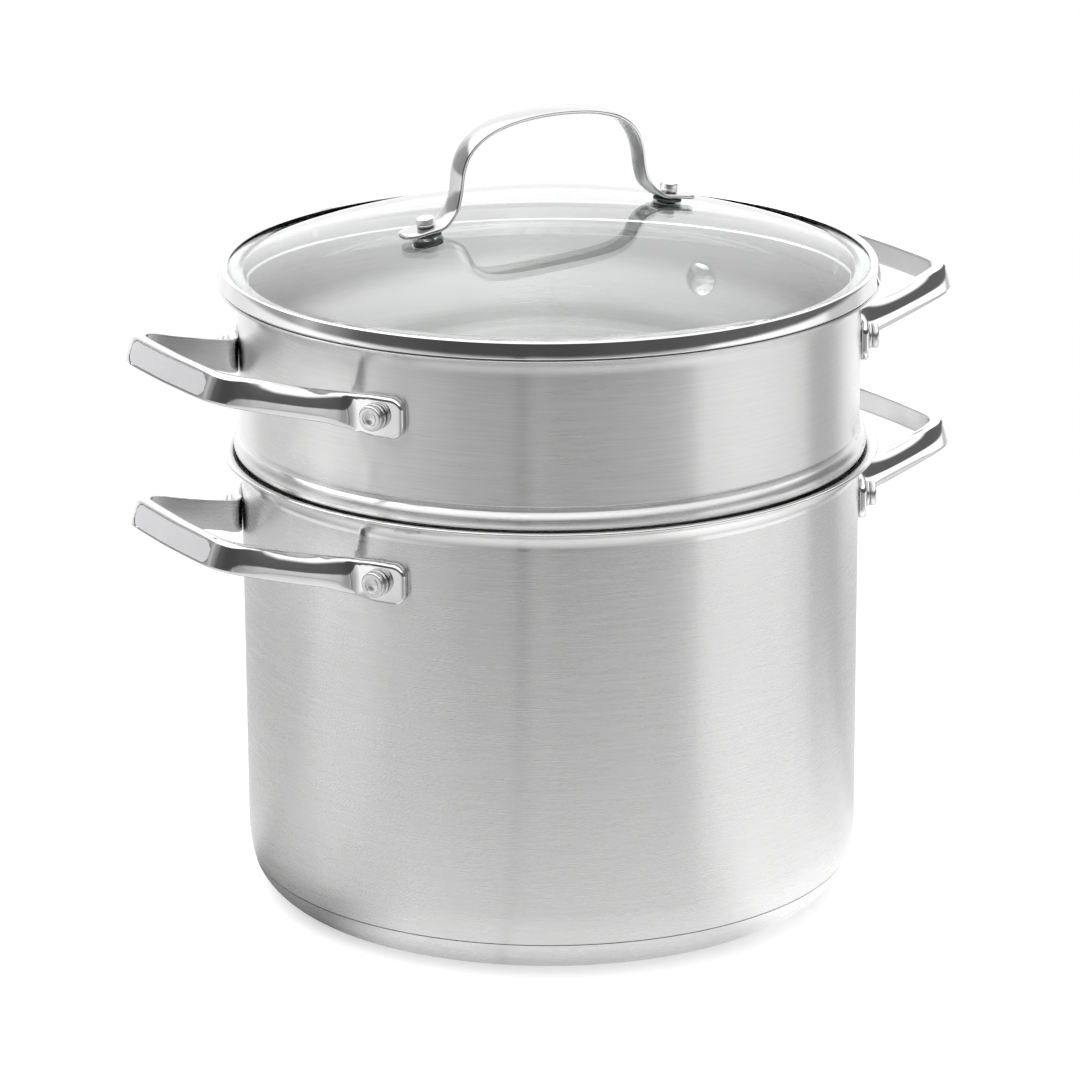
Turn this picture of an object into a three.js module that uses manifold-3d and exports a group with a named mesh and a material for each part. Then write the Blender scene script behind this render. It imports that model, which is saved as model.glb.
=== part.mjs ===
// Water bath canner: a stock pot with a bonded disc base, a lift-off steamer tier, a glass lid
// and a wire jar rack. Millimetres, +Z up. The origin is the middle of the base, on the surface
// the pot stands on. The loop handles lie along X, and so does the strap handle of the lid.
import * as THREE from 'three';
import { mergeVertices } from 'three/addons/utils/BufferGeometryUtils.js';
import Module from 'manifold-3d';

const wasm = await Module();
wasm.setup();

// ---------------------------------------------------------------- driving dimensions

const FACETS = 48; // round the large shells
const SMALL_FACETS = 10; // round rivets and washers
const GAP = 0.3; // left between pieces that touch
const SHEET = 1.2; // sheet steel of pot and tier
const WALL_RADIUS = 120; // outside of both straight walls
const WALL_INSIDE = WALL_RADIUS - SHEET;

const BASE_HEIGHT = 12.9;
const BASE_SHEET = 0.8;
const BASE_CURVE = [[105.4, 0], [109.5, 1], [114, 4.6], [117.2, 9.6], [118.4, BASE_HEIGHT]];
const BASE_CURVE_INSIDE = [[105.2, 0.8], [109, 1.8], [113.4, 5.1], [116.5, 9.9], [117.6, BASE_HEIGHT]];
const CORE_HEIGHT = 5.1; // aluminium disc
const CORE_RADIUS = 111;
const CORE_CHAMFER = 6;
const POT_FLOOR_UNDERSIDE = BASE_SHEET + CORE_HEIGHT + 2 * GAP;
const POT_FLOOR = POT_FLOOR_UNDERSIDE + SHEET;
const POT_RIM_HEIGHT = 177.4;

const LIP_RADIUS = 127.3; // edge of the flared lips
const FLARE_CENTRE_RADIUS = 126.6; // centre of the flare's arc
const FLARE_RADIUS = 7.8; // its upper side
const POT_CORNER = 8; // outer radius between wall and floor
const POT_SEAM_RADIUS = 117.3; // the part of the wall inside the base cap

const TIER_FLOOR_UNDERSIDE = 163.5;
const TIER_CORNER = 6;
const TIER_NECK_RADIUS = 117; // the part that nests inside the pot
const TIER_NECK_CURVE = [[117, 171.5], [118.2, 174], [121, 175.5]]; // out to the shoulder
const TIER_NECK_CURVE_INSIDE = [[120.1, 176.7], [117.3, 175.1], [115.8, 172]];
const SHOULDER_CENTRE = [117.7, 179.6]; // rounded shoulder that rests on the pot's lip
const SHOULDER_CORNER = 5;
const TIER_CREASE_HEIGHT = 185.7; // where the shoulder meets the straight wall
const TIER_RIM_HEIGHT = 242.7;
const STEAM_HOLE_RADIUS = 4;
const STEAM_HOLE_RINGS = 4;
const STEAM_HOLE_PITCH = 21;

const RIM_UNDERSIDE = TIER_RIM_HEIGHT + 0.4;
const RIM_RADIUS = 127.5;
const RIM_TOP = 249.6;
const RIM_SKIRT_BOTTOM = 232;
const RIM_SKIRT_STEP = 238;
const RIM_SKIRT_RADIUS = 116.4; // inside of the skirt below its step
const RIM_SHEET = 0.9;

const GLASS_THICKNESS = 3.9;
const GLASS_EDGE_RADIUS = 126;
const GLASS_EDGE_BOTTOM = RIM_UNDERSIDE + RIM_SHEET + GAP;
const GLASS_DOME_RADIUS = 120; // where the dome starts
const GLASS_DOME_RISE = 21.4;
const GLASS_APEX = GLASS_EDGE_BOTTOM + GLASS_THICKNESS + GLASS_DOME_RISE;
const GLASS_HOLE_RADIUS = 4.2;

const RIVET_AZIMUTH = 27.8; // degrees from the X axis
const RIVET_SHANK_RADIUS = 2.4;
const RIVET_HOLE_RADIUS = 2.8;
const RIVET_HEAD_RADIUS = 6.6;
const RIVET_HEAD_HEIGHT = 2;
const RIVET_TAIL_RADIUS = 4.9;
const RIVET_TAIL_HEIGHT = 2.4;
const RIVET_WASHER_HEIGHT = 1.3;
const POT_HANDLE_HEIGHT = 152.5;
const TIER_HANDLE_HEIGHT = 216.4;

const FLANGE_THICKNESS = 3;
const FLANGE_RADIUS = WALL_RADIUS + GAP + FLANGE_THICKNESS / 2; // middle of the plate
const HANDLE_TILT = 18; // degrees, how far the section leans on the grip
const HANDLE_RISE = 13; // grip above rivets

const LID_RIVET_X = 53.6;
const LID_STRAP_THICKNESS = 2.2;
const LID_STRAP_BEVEL = 0.6;
const LID_HEAD_RADIUS = 5.2;
const LID_HEAD_HEIGHT = 1.6;
const LID_STUD_RADIUS = 3.5;
const LID_STUD_HEIGHT = 3.2;
const GASKET_THICKNESS = 1;
const GASKET_RADIUS = 6;
const LID_WASHER_THICKNESS = 0.8;

const RACK_WIRE_RADIUS = 2.1;
const RACK_RING_RADII = { outer: 104, middle: 70, inner: 36 };
const RACK_RING_HEIGHT = POT_FLOOR + 14;
const RACK_LEG_COUNT = 6;

// ---------------------------------------------------------------- finishes

const finish = (color, roughness, metalness, extra = {}) =>
  new THREE.MeshStandardMaterial({ color, roughness, metalness, ...extra });

const FINISHES = {
  brushed: () => finish(0xc9c9c7, 0.34, 1),
  polished: () => finish(0xd8d8d6, 0.08, 1),
  satin: () => finish(0xcfcfcf, 0.24, 1),
  aluminium: () => finish(0xb9bcbe, 0.5, 1),
  wire: () => finish(0xd2d2d0, 0.18, 1),
  glass: () => finish(0xdfe8e4, 0.03, 0, { transparent: true, opacity: 0.35 }),
  silicone: () => finish(0x2f3733, 0.6, 0),
};

// ---------------------------------------------------------------- solids

const DEG = Math.PI / 180;

// A closed body with shared vertices, no collapsed triangles and its faces pointing out.
function closedBody(geometry) {
  const bare = new THREE.BufferGeometry();
  bare.setAttribute('position', geometry.getAttribute('position'));
  if (geometry.index) bare.setIndex(geometry.index);
  const merged = mergeVertices(bare, 1e-4);
  const position = merged.getAttribute('position');
  const source = Array.from(merged.index.array);
  const corner = [new THREE.Vector3(), new THREE.Vector3(), new THREE.Vector3()];
  const triangles = [];
  let sixVolumes = 0;
  for (let i = 0; i < source.length; i += 3) {
    const [a, b, c] = source.slice(i, i + 3);
    if (a === b || b === c || c === a) continue;
    [a, b, c].forEach((vertex, k) => corner[k].fromBufferAttribute(position, vertex));
    sixVolumes += corner[0].dot(corner[1].clone().cross(corner[2]));
    triangles.push(a, b, c);
  }
  merged.setIndex(sixVolumes < 0 ? triangles.reverse() : triangles);
  return merged;
}

function toManifold(geometry) {
  const body = closedBody(geometry);
  return new wasm.Manifold(new wasm.Mesh({
    numProp: 3,
    vertProperties: Float32Array.from(body.getAttribute('position').array),
    triVerts: Uint32Array.from(body.index.array),
  }));
}

// The body less each of the cutters.
function cut(geometry, cutters) {
  const result = cutters.reduce(
    (solid, cutter) => solid.subtract(toManifold(cutter)), toManifold(geometry));
  const mesh = result.getMesh();
  const geometryOut = new THREE.BufferGeometry();
  geometryOut.setAttribute('position', new THREE.BufferAttribute(mesh.vertProperties, 3));
  geometryOut.setIndex(new THREE.BufferAttribute(mesh.triVerts, 1));
  return geometryOut;
}

const at = (radius, height) => new THREE.Vector2(radius, height);
const points = (pairs) => pairs.map(([radius, height]) => at(radius, height));

// Profile points along an arc, angles in degrees from the outward direction.
function arc(centre, radius, fromDeg, toDeg, steps) {
  return Array.from({ length: steps + 1 }, (_, i) => {
    const angle = THREE.MathUtils.lerp(fromDeg, toDeg, i / steps) * DEG;
    return at(centre.x + radius * Math.cos(angle), centre.y + radius * Math.sin(angle));
  });
}

// A profile of (radius, height) turned about the Z axis.
function turned(profile, facets = FACETS) {
  return closedBody(new THREE.LatheGeometry(profile, facets).rotateX(Math.PI / 2));
}

const turnedRing = (profile, facets = FACETS) => turned([...profile, profile[0].clone()], facets);

// A flat washer about Z, standing on height zero.
const washer = (inner, outer, thickness, facets = SMALL_FACETS) =>
  turnedRing([at(inner, 0), at(outer, 0), at(outer, thickness), at(inner, thickness)], facets);

// A rod about the Z axis.
const rod = (radius, from, to, facets = 8) =>
  turned([at(0, from), at(radius, from), at(radius, to), at(0, to)], facets);

// Turns a geometry's Z axis outward along an azimuth, at a height.
const aimOutward = (geometry, azimuth, height) =>
  geometry.rotateY(Math.PI / 2).rotateZ(azimuth * DEG).translate(0, 0, height);

// A skin over sections that all have the same number of corners, with flat ends.
function loft(sections) {
  const count = sections[0].length;
  const position = sections.flat().flatMap((p) => [p.x, p.y, p.z]);
  const index = [];
  for (let s = 0; s + 1 < sections.length; s++) {
    for (let k = 0; k < count; k++) {
      const [a, b] = [s * count + k, s * count + ((k + 1) % count)];
      index.push(a, b, b + count, a, b + count, a + count);
    }
  }
  const last = (sections.length - 1) * count;
  for (let k = 1; k + 1 < count; k++) index.push(0, k + 1, k, last, last + k, last + k + 1);
  const geometry = new THREE.BufferGeometry();
  geometry.setAttribute('position', new THREE.Float32BufferAttribute(position, 3));
  geometry.setIndex(index);
  return closedBody(geometry);
}

// A strap's section: a rectangle with its corners cut off, as eight points.
function strapSection(middle, across, up, thickness, height, bevel) {
  const corners = [[1, 1], [-1, 1], [-1, -1], [1, -1]];
  return corners.flatMap(([side, top], k) => {
    const long = [thickness / 2 - bevel, height / 2];
    const short = [thickness / 2, height / 2 - bevel];
    return (k % 2 ? [long, short] : [short, long]).map(([a, b]) =>
      middle.clone().addScaledVector(across, side * a).addScaledVector(up, top * b));
  });
}

// ---------------------------------------------------------------- assembly helpers

const canner = new THREE.Group();

function addPiece(name, geometry, finishName, parent = canner) {
  const mesh = new THREE.Mesh(geometry, FINISHES[finishName]());
  mesh.name = name;
  parent.add(mesh);
  return mesh;
}

const SIDES = { left: 180, right: 0 };
const ENDS = { front: -1, back: 1 };

// Azimuths of the four handle rivets, keyed by side and end.
const rivetPlaces = Object.entries(SIDES).flatMap(([side, turn]) =>
  Object.entries(ENDS).map(([end, sign]) => ({
    label: `${side}_${end}`,
    azimuth: turn + sign * RIVET_AZIMUTH * (turn ? -1 : 1),
  })));

// ---------------------------------------------------------------- pot

// Upper and lower sides of a flared lip whose top is at a height, from outside to inside.
function lip(top) {
  const centre = at(FLARE_CENTRE_RADIUS, top - FLARE_RADIUS);
  const edge = [at(LIP_RADIUS, top - SHEET + 0.2), at(LIP_RADIUS, top - 0.3)];
  return [
    ...arc(centre, FLARE_RADIUS - SHEET, 180, 90, 3),
    ...edge,
    ...arc(centre, FLARE_RADIUS, 90, 180, 3),
  ];
}

// Holes through a wall for the four rivets of a pair of handles.
const rivetHoles = (height) => rivetPlaces.map(({ azimuth }) =>
  aimOutward(rod(RIVET_HOLE_RADIUS, WALL_INSIDE - 5, WALL_RADIUS + 5), azimuth, height));

function potBody() {
  const corner = at(POT_SEAM_RADIUS - POT_CORNER, POT_FLOOR_UNDERSIDE + POT_CORNER);
  const shelf = BASE_HEIGHT + GAP; // the wall overhangs the base cap here
  const profile = [
    at(0, POT_FLOOR_UNDERSIDE),
    ...arc(corner, POT_CORNER, -90, -12, 3),
    at(POT_SEAM_RADIUS, shelf),
    at(WALL_RADIUS - 0.7, shelf),
    at(WALL_RADIUS, shelf + 1),
    ...lip(POT_RIM_HEIGHT),
    at(WALL_INSIDE, corner.y + 3),
    ...arc(corner, POT_CORNER - SHEET, 0, -90, 3),
    at(0, POT_FLOOR),
  ];
  return cut(turned(profile), rivetHoles(POT_HANDLE_HEIGHT));
}

function baseCap() {
  return turned([
    at(0, 0),
    ...points(BASE_CURVE),
    ...points(BASE_CURVE_INSIDE).reverse(),
    at(0, BASE_SHEET),
  ]);
}

function baseCore() {
  const bottom = BASE_SHEET + GAP;
  return turned([
    at(0, bottom),
    at(CORE_RADIUS - CORE_CHAMFER, bottom),
    at(CORE_RADIUS, bottom + CORE_CHAMFER / 2),
    at(CORE_RADIUS, bottom + CORE_HEIGHT),
    at(0, bottom + CORE_HEIGHT),
  ]);
}

// ---------------------------------------------------------------- steamer tier

// Steam holes through the tier's floor, in rings of six, twelve, eighteen and so on.
function steamHoles() {
  const holes = [];
  for (let ring = 0; ring <= STEAM_HOLE_RINGS; ring++) {
    const count = ring ? 6 * ring : 1;
    for (let i = 0; i < count; i++) {
      const angle = (i / count) * 2 * Math.PI;
      const distance = ring * STEAM_HOLE_PITCH;
      holes.push(rod(STEAM_HOLE_RADIUS, TIER_FLOOR_UNDERSIDE - 2, TIER_FLOOR_UNDERSIDE + SHEET + 2, 6)
        .translate(distance * Math.cos(angle), distance * Math.sin(angle), 0));
    }
  }
  return holes;
}

function tierBody() {
  const corner = at(TIER_NECK_RADIUS - TIER_CORNER, TIER_FLOOR_UNDERSIDE + TIER_CORNER);
  const shoulder = at(...SHOULDER_CENTRE);
  const profile = [
    at(0, TIER_FLOOR_UNDERSIDE),
    ...arc(corner, TIER_CORNER, -90, 0, 2),
    ...points(TIER_NECK_CURVE),
    ...arc(shoulder, SHOULDER_CORNER, -20, 45, 2),
    at(WALL_RADIUS, TIER_CREASE_HEIGHT),
    ...lip(TIER_RIM_HEIGHT),
    at(WALL_INSIDE, TIER_CREASE_HEIGHT + 0.6),
    ...arc(shoulder, SHOULDER_CORNER - SHEET, 45, -20, 2),
    ...points(TIER_NECK_CURVE_INSIDE),
    ...arc(corner, TIER_CORNER - SHEET, 0, -90, 2),
    at(0, TIER_FLOOR_UNDERSIDE + SHEET),
  ];
  return cut(turned(profile), [...rivetHoles(TIER_HANDLE_HEIGHT), ...steamHoles()]);
}

// ---------------------------------------------------------------- loop handles

// Stations along half of a handle, from the free end of its flange to the middle of the grip:
// the middle of the section, its thickness and height, and how far it leans with the grip.
function handleStations() {
  const onWall = (azimuth) =>
    [FLANGE_RADIUS * Math.cos(azimuth * DEG), FLANGE_RADIUS * Math.sin(azimuth * DEG)];
  const plate = FLANGE_THICKNESS;
  return [
    { xy: onWall(33), rise: 0, thickness: plate, height: 9, lean: 0 },
    { xy: onWall(32.2), rise: 0, thickness: plate, height: 13.6, lean: 0 },
    { xy: onWall(30.8), rise: 0, thickness: plate, height: 16, lean: 0 },
    { xy: onWall(27.8), rise: 0, thickness: plate, height: 16, lean: 0 },
    { xy: onWall(24.8), rise: 0, thickness: plate, height: 15.2, lean: 0 },
    { xy: [112.4, 47.6], rise: 0.2, thickness: 3.2, height: 14.2, lean: 0.15 },
    { xy: [116, 44.8], rise: 0.9, thickness: 3.8, height: 13.2, lean: 0.4 },
    { xy: [122, 43.2], rise: 2.3, thickness: 4.4, height: 12.2, lean: 0.8 },
    { xy: [137, 41.4], rise: 6.2, thickness: 5, height: 11.6, lean: 1 },
    { xy: [151, 39.8], rise: 10.2, thickness: 5.2, height: 11.6, lean: 1 },
    { xy: [158.8, 37.4], rise: 12, thickness: 5.4, height: 11.6, lean: 1 },
    { xy: [162.6, 32], rise: 12.8, thickness: 5.4, height: 11.6, lean: 1 },
    { xy: [163.4, 23], rise: HANDLE_RISE, thickness: 5.4, height: 11.6, lean: 1 },
    { xy: [163.8, 0], rise: HANDLE_RISE, thickness: 5.4, height: 11.6, lean: 1 },
  ];
}

function loopHandle() {
  const half = handleStations();
  const mirrored = half.slice(0, -1).reverse().map((s) => ({ ...s, xy: [s.xy[0], -s.xy[1]] }));
  const stations = [...half, ...mirrored];
  const middles = stations.map((s) => new THREE.Vector3(s.xy[0], s.xy[1], s.rise));
  const tilt = HANDLE_TILT * DEG;
  const sections = stations.map((station, i) => {
    const before = middles[Math.max(i - 1, 0)];
    const after = middles[Math.min(i + 1, middles.length - 1)];
    const along = after.clone().sub(before).normalize();
    const leaning = new THREE.Vector3(-Math.sin(tilt * station.lean), 0, Math.cos(tilt * station.lean));
    const up = leaning.addScaledVector(along, -leaning.dot(along)).normalize();
    const across = along.clone().cross(up);
    const bevel = station.thickness * 0.28;
    return strapSection(middles[i], across, up, station.thickness, station.height, bevel);
  });
  const holes = [1, -1].map((sign) =>
    aimOutward(rod(RIVET_HOLE_RADIUS, WALL_RADIUS - 5, WALL_RADIUS + 8), sign * RIVET_AZIMUTH, 0));
  return cut(loft(sections), holes);
}

// A rivet about Z, whose zero is the vessel's axis: head inside the wall, tail outside the washer.
function handleRivet() {
  const headBase = WALL_INSIDE * Math.cos(Math.PI / FACETS) - GAP;
  const tailBase = WALL_RADIUS + FLANGE_THICKNESS + RIVET_WASHER_HEIGHT + 3 * GAP;
  const tailTop = tailBase + RIVET_TAIL_HEIGHT;
  return turned([
    at(0, headBase - RIVET_HEAD_HEIGHT),
    at(RIVET_HEAD_RADIUS * 0.6, headBase - RIVET_HEAD_HEIGHT * 0.8),
    at(RIVET_HEAD_RADIUS, headBase),
    at(RIVET_SHANK_RADIUS, headBase),
    at(RIVET_SHANK_RADIUS, tailBase),
    at(RIVET_TAIL_RADIUS, tailBase),
    at(RIVET_TAIL_RADIUS, tailTop - 0.9),
    at(RIVET_TAIL_RADIUS - 0.9, tailTop),
    at(0, tailTop),
  ], SMALL_FACETS);
}

// The pair of loop handles of one vessel with their rivets and washers.
function addHandles(vessel, height) {
  for (const [side, turn] of Object.entries(SIDES)) {
    const handle = addPiece(`${vessel}_handle_${side}`, loopHandle(), 'polished');
    handle.position.z = height;
    handle.rotation.z = turn * DEG;
  }
  const washerStart = WALL_RADIUS + FLANGE_THICKNESS + 2 * GAP;
  for (const { label, azimuth } of rivetPlaces) {
    const ring = washer(RIVET_HOLE_RADIUS, RIVET_TAIL_RADIUS + 0.2, RIVET_WASHER_HEIGHT);
    const pieces = [
      addPiece(`${vessel}_rivet_${label}`, handleRivet(), 'satin'),
      addPiece(`${vessel}_rivet_washer_${label}`, ring.translate(0, 0, washerStart), 'satin'),
    ];
    for (const piece of pieces) {
      piece.position.z = height;
      piece.rotation.set(0, Math.PI / 2, azimuth * DEG, 'ZYX');
    }
  }
}

// ---------------------------------------------------------------- lid

const DOME_SPHERE = (GLASS_DOME_RADIUS ** 2 + GLASS_DOME_RISE ** 2) / (2 * GLASS_DOME_RISE);

// Height of the glass's outer face at a distance from the axis.
const domeHeight = (r) => GLASS_APEX - DOME_SPHERE + Math.sqrt(DOME_SPHERE ** 2 - r ** 2);

// Slope of the glass under the lid's rivets.
const LID_RIVET_SLOPE = Math.asin(LID_RIVET_X / DOME_SPHERE);

function lidRim() {
  const inside = RIM_SKIRT_RADIUS;
  const step = 0.7; // the skirt is this much wider above its step
  const deck = RIM_UNDERSIDE + RIM_SHEET;
  return turnedRing([
    at(inside, RIM_SKIRT_BOTTOM),
    at(inside + RIM_SHEET, RIM_SKIRT_BOTTOM),
    at(inside + RIM_SHEET, RIM_SKIRT_STEP),
    at(inside + RIM_SHEET + step, RIM_SKIRT_STEP + 0.6),
    at(inside + RIM_SHEET + step, RIM_UNDERSIDE),
    at(RIM_RADIUS - 0.7, RIM_UNDERSIDE),
    at(RIM_RADIUS, RIM_UNDERSIDE + 0.8),
    at(RIM_RADIUS, RIM_TOP - 1.8),
    at(RIM_RADIUS - 1.2, RIM_TOP),
    at(RIM_RADIUS - 3.2, RIM_TOP - 0.2),
    at(RIM_RADIUS - 3.2, GLASS_EDGE_BOTTOM + GLASS_THICKNESS + GAP),
    at(RIM_RADIUS - 1, GLASS_EDGE_BOTTOM + GLASS_THICKNESS + GAP),
    at(RIM_RADIUS - 1, deck),
    at(inside + step, deck),
    at(inside + step, RIM_SKIRT_STEP + 1),
    at(inside, RIM_SKIRT_STEP + 0.4),
  ]);
}

function lidGlass() {
  const steps = 5;
  const outer = Array.from({ length: steps + 1 }, (_, i) => {
    const r = GLASS_DOME_RADIUS * (1 - i / steps);
    return at(r, domeHeight(r));
  });
  const inner = outer.map((p) => at(p.x, p.y - GLASS_THICKNESS)).reverse();
  const profile = [
    ...inner,
    at(GLASS_EDGE_RADIUS, GLASS_EDGE_BOTTOM),
    at(GLASS_EDGE_RADIUS, GLASS_EDGE_BOTTOM + GLASS_THICKNESS),
    ...outer,
  ];
  const holes = [1, -1].map((sign) => rod(GLASS_HOLE_RADIUS, -12, 12, SMALL_FACETS)
    .rotateY(sign * LID_RIVET_SLOPE).translate(sign * LID_RIVET_X, 0, domeHeight(LID_RIVET_X)));
  return cut(turned(profile), holes);
}

// Heights above the glass's outer face, along its normal at a rivet.
const STRAP_UNDERSIDE = 2 * GAP + GASKET_THICKNESS;
const STUD_BASE = STRAP_UNDERSIDE + LID_STRAP_THICKNESS + GAP;
const LOWER_GASKET_TOP = -GLASS_THICKNESS - GAP;
const LOWER_WASHER_TOP = LOWER_GASKET_TOP - GASKET_THICKNESS - GAP;
const LID_HEAD_TOP = LOWER_WASHER_TOP - LID_WASHER_THICKNESS - GAP;

// Half of the lid strap's middle line, from the top of the arch to the tip of the foot, with
// the strap's width.
function strapStations() {
  const footHeight = domeHeight(LID_RIVET_X) + (STRAP_UNDERSIDE + LID_STRAP_THICKNESS / 2)
    / Math.cos(LID_RIVET_SLOPE);
  const foot = (x, width) =>
    ({ x, z: footHeight - (x - LID_RIVET_X) * Math.tan(LID_RIVET_SLOPE), width });
  return [
    { x: 0, z: 307.2, width: 12 },
    { x: 13, z: 306.5, width: 12 },
    { x: 24, z: 304.3, width: 11.6 },
    { x: 32, z: 300.6, width: 10.8 },
    { x: 37.2, z: 295.4, width: 9.8 },
    { x: 39.8, z: 289, width: 9.2 },
    { x: 41, z: 281, width: 9 },
    { x: 42.8, z: 275, width: 9.4 },
    { x: 46, z: 271.2, width: 10.6 },
    foot(49.6, 12),
    foot(LID_RIVET_X, 12.6),
    foot(61, 12),
    foot(63.4, 10),
    foot(64.8, 6.5),
  ];
}

function lidStrap() {
  const half = strapStations();
  const stations = [...half.slice(1).reverse().map((s) => ({ ...s, x: -s.x })), ...half];
  const middles = stations.map((s) => new THREE.Vector3(s.x, 0, s.z));
  const across = new THREE.Vector3(0, 1, 0);
  const sections = stations.map((station, i) => {
    const before = middles[Math.max(i - 1, 0)];
    const after = middles[Math.min(i + 1, middles.length - 1)];
    const up = across.clone().cross(after.clone().sub(before)).normalize();
    return strapSection(middles[i], up, across, LID_STRAP_THICKNESS, station.width, LID_STRAP_BEVEL);
  });
  const holes = [1, -1].map((sign) => rod(RIVET_HOLE_RADIUS, -6, 8)
    .rotateY(sign * LID_RIVET_SLOPE).translate(sign * LID_RIVET_X, 0, domeHeight(LID_RIVET_X)));
  return cut(loft(sections), holes);
}

// A lid rivet about Z, whose zero is the glass's outer face: head below, stud above the strap.
function lidRivet() {
  const studTop = STUD_BASE + LID_STUD_HEIGHT;
  return turned([
    at(0, LID_HEAD_TOP - LID_HEAD_HEIGHT),
    at(LID_HEAD_RADIUS * 0.65, LID_HEAD_TOP - LID_HEAD_HEIGHT * 0.8),
    at(LID_HEAD_RADIUS, LID_HEAD_TOP),
    at(RIVET_SHANK_RADIUS, LID_HEAD_TOP),
    at(RIVET_SHANK_RADIUS, STUD_BASE),
    at(LID_STUD_RADIUS, STUD_BASE),
    at(LID_STUD_RADIUS, studTop - 0.5),
    at(LID_STUD_RADIUS - 0.7, studTop),
    at(0, studTop),
  ], SMALL_FACETS);
}

function addLid() {
  addPiece('lid_rim', lidRim(), 'polished');
  addPiece('lid_glass', lidGlass(), 'glass');
  addPiece('lid_handle', lidStrap(), 'polished');
  for (const [side, sign] of [['left', -1], ['right', 1]]) {
    const station = new THREE.Group();
    station.position.set(sign * LID_RIVET_X, 0, domeHeight(LID_RIVET_X));
    station.rotation.y = sign * LID_RIVET_SLOPE;
    canner.add(station);
    addPiece(`lid_rivet_${side}`, lidRivet(), 'satin', station);
    const gasket = () => washer(RIVET_HOLE_RADIUS, GASKET_RADIUS, GASKET_THICKNESS);
    addPiece(`lid_upper_gasket_${side}`, gasket().translate(0, 0, GAP), 'silicone', station);
    addPiece(`lid_lower_gasket_${side}`,
      gasket().translate(0, 0, LOWER_GASKET_TOP - GASKET_THICKNESS), 'silicone', station);
    const plate = washer(RIVET_HOLE_RADIUS, GASKET_RADIUS + 0.5, LID_WASHER_THICKNESS);
    addPiece(`lid_lower_washer_${side}`,
      plate.translate(0, 0, LOWER_WASHER_TOP - LID_WASHER_THICKNESS), 'satin', station);
  }
}

// ---------------------------------------------------------------- jar rack

const wireSection = (radius, sides) =>
  Array.from({ length: sides }, (_, k) => {
    const angle = ((k + 0.5) / sides) * 2 * Math.PI;
    return at(radius * Math.cos(angle), radius * Math.sin(angle));
  });

function rackRing(radius) {
  const facets = Math.round(12 + radius * 0.27);
  const section = wireSection(RACK_WIRE_RADIUS, 6).map((p) => at(radius + p.x, RACK_RING_HEIGHT + p.y));
  return turnedRing(section, facets);
}

// A spoke under the rings whose outer end turns down as a leg.
function rackLeg() {
  const height = RACK_RING_HEIGHT - 2 * RACK_WIRE_RADIUS - GAP;
  const legRadius = RACK_RING_RADII.outer + 2;
  const bend = 5;
  const path = new THREE.CurvePath();
  const point = (r, z) => new THREE.Vector3(r, 0, z);
  path.add(new THREE.LineCurve3(point(RACK_RING_RADII.inner - 3, height), point(legRadius - bend, height)));
  path.add(new THREE.QuadraticBezierCurve3(
    point(legRadius - bend, height), point(legRadius, height), point(legRadius, height - bend)));
  path.add(new THREE.LineCurve3(point(legRadius, height - bend), point(legRadius, POT_FLOOR + GAP)));
  const shape = new THREE.Shape(wireSection(RACK_WIRE_RADIUS, 6));
  return closedBody(new THREE.ExtrudeGeometry(shape, { extrudePath: path, steps: 12, bevelEnabled: false }));
}

function addRack() {
  for (const [name, radius] of Object.entries(RACK_RING_RADII)) {
    addPiece(`rack_ring_${name}`, rackRing(radius), 'wire');
  }
  for (let i = 0; i < RACK_LEG_COUNT; i++) {
    addPiece(`rack_leg_${i + 1}`, rackLeg(), 'wire').rotation.z = (i + 0.5) * (360 / RACK_LEG_COUNT) * DEG;
  }
}

// ---------------------------------------------------------------- assembly

addPiece('pot_body', potBody(), 'brushed');
addPiece('pot_base_core', baseCore(), 'aluminium');
addPiece('pot_base_cap', baseCap(), 'satin');
addHandles('pot', POT_HANDLE_HEIGHT);
addPiece('tier_body', tierBody(), 'brushed');
addHandles('tier', TIER_HANDLE_HEIGHT);
addLid();
addRack();

export default canner;
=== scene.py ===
"""Looks for the water bath canner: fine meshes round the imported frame, steel and glass
materials, a pale studio and the camera. +Z up, in the frame's own axes. Sizes are written in
millimetres and every mesh is scaled to metres as it is made."""
from math import asin, atan2, cos, degrees, hypot, pi, radians, sin, sqrt, tan

import bmesh
import bpy
from mathutils import Matrix, Vector


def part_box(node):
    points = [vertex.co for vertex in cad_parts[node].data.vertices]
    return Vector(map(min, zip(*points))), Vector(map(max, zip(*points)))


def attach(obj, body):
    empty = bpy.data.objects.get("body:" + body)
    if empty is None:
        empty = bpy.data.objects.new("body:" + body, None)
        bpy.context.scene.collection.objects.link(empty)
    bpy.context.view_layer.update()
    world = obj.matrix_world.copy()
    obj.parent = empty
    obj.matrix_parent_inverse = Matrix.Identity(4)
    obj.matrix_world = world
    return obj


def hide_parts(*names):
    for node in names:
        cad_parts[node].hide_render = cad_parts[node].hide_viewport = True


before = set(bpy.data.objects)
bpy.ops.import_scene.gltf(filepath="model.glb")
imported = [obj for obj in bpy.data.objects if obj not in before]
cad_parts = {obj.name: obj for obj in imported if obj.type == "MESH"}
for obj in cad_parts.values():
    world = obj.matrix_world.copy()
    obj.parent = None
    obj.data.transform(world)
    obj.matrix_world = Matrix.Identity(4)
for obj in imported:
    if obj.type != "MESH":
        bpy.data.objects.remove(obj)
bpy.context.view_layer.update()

MM = 0.001


def box_mm(node):
    """Lowest and highest corner of a CAD node, in millimetres."""
    low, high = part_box(node)
    return low / MM, high / MM


def middle_height(node):
    low, high = box_mm(node)
    return (low.z + high.z) / 2


# ---------------- dimensions, from the frame where it gives them

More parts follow.
